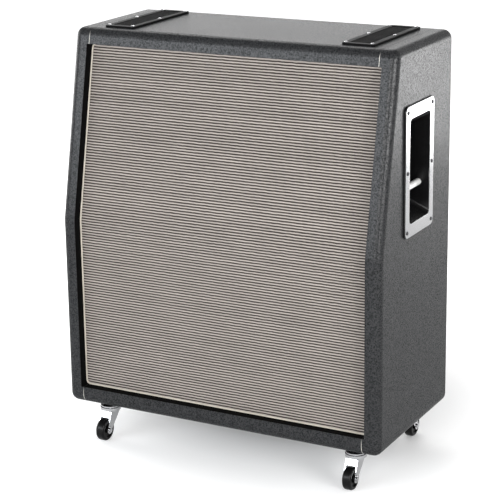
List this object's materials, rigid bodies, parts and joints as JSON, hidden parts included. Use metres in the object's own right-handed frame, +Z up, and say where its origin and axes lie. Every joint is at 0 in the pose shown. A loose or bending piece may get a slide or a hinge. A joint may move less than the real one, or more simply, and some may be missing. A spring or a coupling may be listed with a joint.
{
  "type": "guitar speaker cabinet",
  "caption": "Tall vinyl-covered guitar speaker cabinet with a leaning upper front, striped grille cloth, recessed side handles and swivel casters",
  "frame": {"origin": "on the floor, under the middle of the cabinet", "axes": "+Z up, -Y the way the grille faces, +X to the right for someone who looks at the grille"},
  "size_m": [0.7698, 0.381, 0.9267],
  "materials": {
    "vinyl": "matte",
    "plywood": "satin",
    "black_wood": "matte",
    "grille_fabric": "matte",
    "beading": "satin",
    "speaker_steel": "satin",
    "ferrite": "matte",
    "bare_steel": "satin",
    "cone_paper": "matte",
    "treated_cloth": "matte",
    "gasket_board": "matte",
    "handle_silver": "satin",
    "handle_black": "gloss",
    "chrome": "polished",
    "plate_black": "satin",
    "inlay_rubber": "matte",
    "wheel_rubber": "satin",
    "wire_sheath": "satin",
    "jack_black": "satin"
  },
  "bodies": {
    "root": {"baffle_battens": "plywood", "bottom_covering": "vinyl", "bottom_panel": "plywood", "caster_sockets": "plate_black", "caster_stems": "chrome", "centre_post": "plywood", "front_lip_rails": "plywood", "grille_beading": "beading", "grille_cloth": "grille_fabric", "handle_bars": "chrome", "handle_screws": "chrome", "jack_plate": "jack_black", "jack_socket": "chrome", "left_handle_cup": "handle_black", "left_handle_frame": "handle_silver", "left_side_covering": "vinyl", "left_side_panel": "plywood", "lower_baffle": "black_wood", "rear_battens": "plywood", "rear_covering": "vinyl", "rear_panel": "plywood", "rear_screws": "jack_black", "right_handle_cup": "handle_black", "right_handle_frame": "handle_silver", "right_side_covering": "vinyl", "right_side_panel": "plywood", "speaker_bolts": "bare_steel", "speaker_frame_lower_left": "speaker_steel", "speaker_frame_lower_right": "speaker_steel", "speaker_frame_upper_left": "speaker_steel", "speaker_frame_upper_right": "speaker_steel", "speaker_gaskets": "gasket_board", "speaker_magnets": "ferrite", "speaker_pole_plates": "bare_steel", "speaker_spiders": "treated_cloth", "speaker_surrounds": "treated_cloth", "speaker_top_plates": "bare_steel", "speaker_wiring": "wire_sheath", "top_covering": "vinyl", "top_panel": "plywood", "top_plate_inlays": "inlay_rubber", "top_plate_screws": "chrome", "top_plates": "plate_black", "upper_baffle": "black_wood"},
    "front_left_swivel": {"caster_fork_front_left": "chrome", "caster_axle_front_left": "chrome"},
    "front_left_wheel": {"caster_wheel_front_left": "wheel_rubber"},
    "front_right_swivel": {"caster_fork_front_right": "chrome", "caster_axle_front_right": "chrome"},
    "front_right_wheel": {"caster_wheel_front_right": "wheel_rubber"},
    "rear_left_swivel": {"caster_fork_rear_left": "chrome", "caster_axle_rear_left": "chrome"},
    "rear_left_wheel": {"caster_wheel_rear_left": "wheel_rubber"},
    "rear_right_swivel": {"caster_fork_rear_right": "chrome", "caster_axle_rear_right": "chrome"},
    "rear_right_wheel": {"caster_wheel_rear_right": "wheel_rubber"},
    "upper_left_cone": {"speaker_cone_upper_left": "cone_paper"},
    "upper_right_cone": {"speaker_cone_upper_right": "cone_paper"},
    "lower_left_cone": {"speaker_cone_lower_left": "cone_paper"},
    "lower_right_cone": {"speaker_cone_lower_right": "cone_paper"}
  },
  "joints": [
    {"name": "front_left_swivel_turn", "type": "hinge", "parent": "root", "child": "front_left_swivel", "pos_m": [-0.3025, -0.136, 0.0628], "axis": [0, 0, 1], "continuous": true},
    {"name": "front_left_wheel_turn", "type": "hinge", "parent": "front_left_swivel", "child": "front_left_wheel", "pos_m": [-0.3025, -0.163, 0.025], "axis": [1, 0, 0], "continuous": true},
    {"name": "front_right_swivel_turn", "type": "hinge", "parent": "root", "child": "front_right_swivel", "pos_m": [0.3025, -0.136, 0.0628], "axis": [0, 0, 1], "continuous": true},
    {"name": "front_right_wheel_turn", "type": "hinge", "parent": "front_right_swivel", "child": "front_right_wheel", "pos_m": [0.3025, -0.163, 0.025], "axis": [1, 0, 0], "continuous": true},
    {"name": "rear_left_swivel_turn", "type": "hinge", "parent": "root", "child": "rear_left_swivel", "pos_m": [-0.3025, 0.136, 0.0628], "axis": [0, 0, 1], "continuous": true},
    {"name": "rear_left_wheel_turn", "type": "hinge", "parent": "rear_left_swivel", "child": "rear_left_wheel", "pos_m": [-0.3025, 0.163, 0.025], "axis": [1, 0, 0], "continuous": true},
    {"name": "rear_right_swivel_turn", "type": "hinge", "parent": "root", "child": "rear_right_swivel", "pos_m": [0.3025, 0.136, 0.0628], "axis": [0, 0, 1], "continuous": true},
    {"name": "rear_right_wheel_turn", "type": "hinge", "parent": "rear_right_swivel", "child": "rear_right_wheel", "pos_m": [0.3025, 0.163, 0.025], "axis": [1, 0, 0], "continuous": true},
    {"name": "upper_left_cone_travel", "type": "slide", "parent": "root", "child": "upper_left_cone", "axis": [0, -0.98, 0.1989], "range_m": [-0.003, 0.003], "stiffness_N_per_m": 7000, "deforming": ["speaker_surrounds", "speaker_spiders"]},
    {"name": "upper_right_cone_travel", "type": "slide", "parent": "root", "child": "upper_right_cone", "axis": [0, -0.98, 0.1989], "range_m": [-0.003, 0.003], "stiffness_N_per_m": 7000, "deforming": ["speaker_surrounds", "speaker_spiders"]},
    {"name": "lower_left_cone_travel", "type": "slide", "parent": "root", "child": "lower_left_cone", "axis": [0, -1, 0], "range_m": [-0.003, 0.003], "stiffness_N_per_m": 7000, "deforming": ["speaker_surrounds", "speaker_spiders"]},
    {"name": "lower_right_cone_travel", "type": "slide", "parent": "root", "child": "lower_right_cone", "axis": [0, -1, 0], "range_m": [-0.003, 0.003], "stiffness_N_per_m": 7000, "deforming": ["speaker_surrounds", "speaker_spiders"]}
  ]
}
